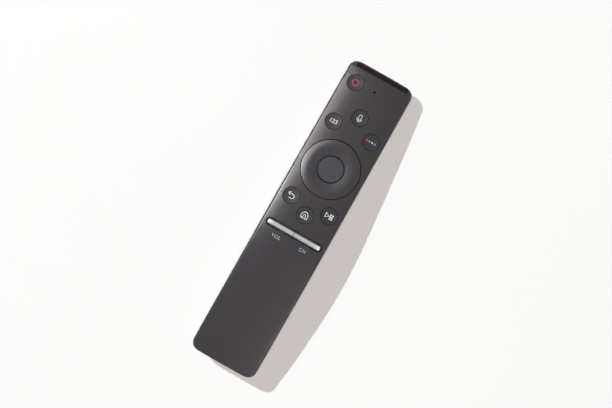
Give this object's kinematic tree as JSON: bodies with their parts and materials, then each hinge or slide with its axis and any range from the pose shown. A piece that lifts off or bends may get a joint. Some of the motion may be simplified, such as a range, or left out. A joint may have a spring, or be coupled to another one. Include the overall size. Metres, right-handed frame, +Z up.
{
  "type": "television remote control",
  "caption": "Slim black handheld remote control with an arched face, round keys, a dished navigation ring with a centre key, and a split silver rocker bar.",
  "frame": {"origin": "on the surface it rests on, under the middle of its length and width", "axes": "+X to the right of the face, +Y along the body to the end that points at the set, +Z up out of the face"},
  "size_m": [0.0354, 0.1649, 0.0249],
  "materials": {
    "upper_shell": "satin black moulded plastic",
    "lower_shell": "fine-textured black moulded plastic",
    "key": "satin black with printed sign",
    "ring": "satin dark grey",
    "centre_key": "satin bluish dark grey",
    "silver": "satin silver",
    "window": "polished, dark red-black",
    "rubber": "moulded silicone",
    "board": "green solder mask",
    "inner_plastic": "natural grey moulding",
    "component": "moulded black resin",
    "led": "tinted clear resin",
    "steel": "plated",
    "spring_steel": "nickel plated",
    "cell": "plain wrap over a steel can"
  },
  "bodies": {
    "housing": {"front_cover": "upper_shell", "ir_window": "window", "rear_case": "lower_shell", "circuit_board": "board", "keypad_mat": "rubber", "dome_switches": "spring_steel", "navigation_posts": "inner_plastic", "lever_frame": "inner_plastic", "lever_switches": "component", "battery_left": "cell", "battery_right": "cell", "case_screws": "steel", "microphone": "component", "microphone_gasket": "rubber", "ir_leds": "led", "processor_chip": "component", "radio_module": "steel", "crystal": "steel", "contact_bridge": "spring_steel", "contact_plus": "spring_steel", "contact_minus": "spring_steel"},
    "battery_cover": {"battery_cover": "lower_shell"},
    "navigation_ring": {"navigation_ring": "ring"},
    "navigation_carrier": {"navigation_carrier": "inner_plastic"},
    "enter_button": {"enter_button": "centre_key"},
    "volume_lever": {"volume_lever": "silver"},
    "channel_lever": {"channel_lever": "silver"},
    "power_button": {"power_button": "key"},
    "voice_button": {"voice_button": "key"},
    "number_button": {"number_button": "key"},
    "colour_button": {"colour_button": "key"},
    "return_button": {"return_button": "key"},
    "play_button": {"play_button": "key"},
    "home_button": {"home_button": "key"}
  },
  "joints": [
    {"name": "power_press", "type": "slide", "parent": "housing", "child": "power_button", "axis": [0, 0.1167, 0.9932], "range_m": [-0.0006, 0], "stiffness_N_per_m": 1500, "deforming": ["keypad_mat"]},
    {"name": "voice_press", "type": "slide", "parent": "housing", "child": "voice_button", "axis": [0, 0.1167, 0.9932], "range_m": [-0.0006, 0], "stiffness_N_per_m": 1500, "deforming": ["keypad_mat"]},
    {"name": "number_press", "type": "slide", "parent": "housing", "child": "number_button", "axis": [0, 0.1167, 0.9932], "range_m": [-0.0006, 0], "stiffness_N_per_m": 1500, "deforming": ["keypad_mat"]},
    {"name": "colour_press", "type": "slide", "parent": "housing", "child": "colour_button", "axis": [0, 0.1167, 0.9932], "range_m": [-0.0006, 0], "stiffness_N_per_m": 1500, "deforming": ["keypad_mat"]},
    {"name": "return_press", "type": "slide", "parent": "housing", "child": "return_button", "axis": [0, 0.1167, 0.9932], "range_m": [-0.0006, 0], "stiffness_N_per_m": 1500, "deforming": ["keypad_mat"]},
    {"name": "play_press", "type": "slide", "parent": "housing", "child": "play_button", "axis": [0, 0.1167, 0.9932], "range_m": [-0.0006, 0], "stiffness_N_per_m": 1500, "deforming": ["keypad_mat"]},
    {"name": "home_press", "type": "slide", "parent": "housing", "child": "home_button", "axis": [0, 0.1167, 0.9932], "range_m": [-0.0006, 0], "stiffness_N_per_m": 1500, "deforming": ["keypad_mat"]},
    {"name": "enter_press", "type": "slide", "parent": "housing", "child": "enter_button", "axis": [0, 0.1167, 0.9932], "range_m": [-0.0006, 0], "stiffness_N_per_m": 1500, "deforming": ["keypad_mat"]},
    {"name": "navigation_roll", "type": "hinge", "parent": "housing", "child": "navigation_carrier", "pos_m": [0, 0.02736, 0.01635], "axis": [0, 0.9932, -0.1167], "range_deg": [-1.8, 1.8], "stiffness_Nm_per_rad": 0.6, "deforming": ["keypad_mat"]},
    {"name": "navigation_pitch", "type": "hinge", "parent": "navigation_carrier", "child": "navigation_ring", "pos_m": [0, 0.02736, 0.01635], "axis": [1, 0, 0], "range_deg": [-1.8, 1.8], "stiffness_Nm_per_rad": 0.6, "deforming": ["keypad_mat"]},
    {"name": "volume_rock", "type": "hinge", "parent": "housing", "child": "volume_lever", "pos_m": [0, -0.0089, 0.02063], "axis": [1, 0, 0], "range_deg": [-4, 4], "stiffness_Nm_per_rad": 0.09},
    {"name": "channel_rock", "type": "hinge", "parent": "housing", "child": "channel_lever", "pos_m": [0, -0.0089, 0.02063], "axis": [1, 0, 0], "range_deg": [-4, 4], "stiffness_Nm_per_rad": 0.09},
    {"name": "battery_cover_slide", "type": "slide", "parent": "housing", "child": "battery_cover", "axis": [0, -1, 0], "range_m": [0, 0.076]}
  ]
}
